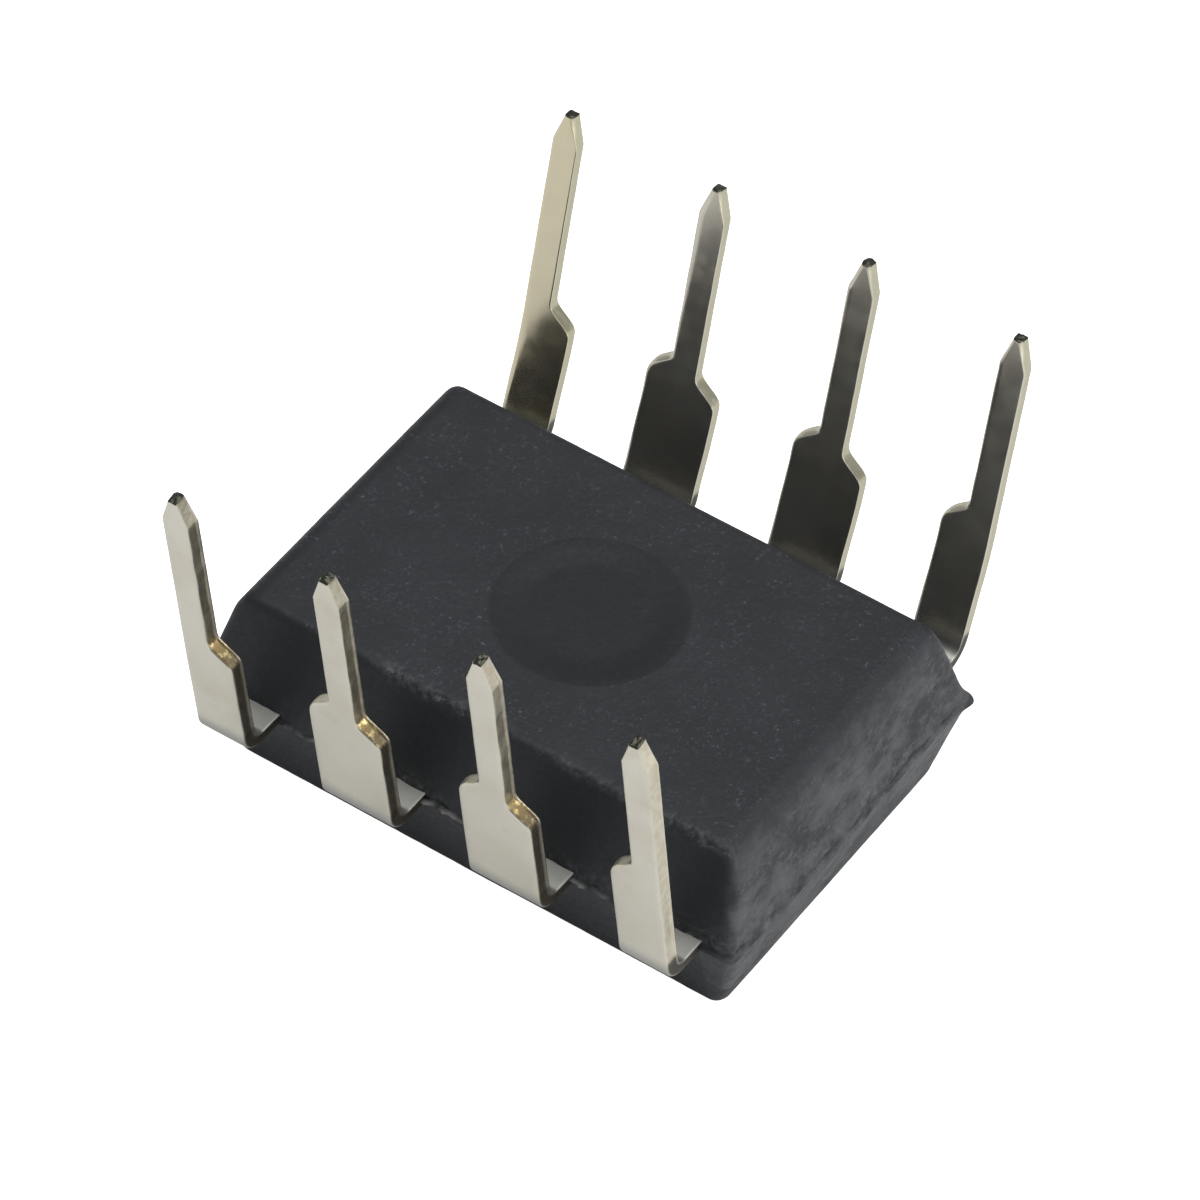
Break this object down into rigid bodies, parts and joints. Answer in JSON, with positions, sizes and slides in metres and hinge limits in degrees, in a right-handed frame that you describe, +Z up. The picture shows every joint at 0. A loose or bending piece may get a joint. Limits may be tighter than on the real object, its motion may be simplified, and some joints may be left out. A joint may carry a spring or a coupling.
{
  "type": "dip integrated circuit chip",
  "caption": "Through-hole chip in a dual in-line package: drafted black moulded body with two rows of splayed, shouldered flat pins, lying on its marking face.",
  "frame": {"origin": "centre of the marking face, which lies on the bench: the middle of the bottom of the part's bounding box", "axes": "+X along the two rows of leads, away from the orientation notch; +Y across the rows, towards the row that holds pins one to four; +Z up, out of the marking face through the body to the pins' tips. The chip lies upside down, as it rests on a bench: in use it is turned over, and its pins point down"},
  "size_m": [0.0092, 0.0098, 0.0073],
  "materials": {
    "moulding_compound": "matte black epoxy with a fine eroded texture",
    "tinned_lead": "satin warm grey tin plating, duller on the cut edges",
    "copper_pad": "bare copper alloy, satin",
    "die_adhesive": "silver-filled epoxy, dull",
    "silicon": "polished dark grey",
    "gold_wire": "bright drawn gold"
  },
  "bodies": {
    "root": {"package_body": "moulding_compound", "lead_1": "tinned_lead", "lead_2": "tinned_lead", "lead_3": "tinned_lead", "lead_4": "tinned_lead", "lead_5": "tinned_lead", "lead_6": "tinned_lead", "lead_7": "tinned_lead", "lead_8": "tinned_lead", "die_pad": "copper_pad", "die_attach": "die_adhesive", "die": "silicon", "bond_wire_1": "gold_wire", "bond_wire_2": "gold_wire", "bond_wire_3": "gold_wire", "bond_wire_4": "gold_wire", "bond_wire_5": "gold_wire", "bond_wire_6": "gold_wire", "bond_wire_7": "gold_wire", "bond_wire_8": "gold_wire"}
  },
  "joints": []
}
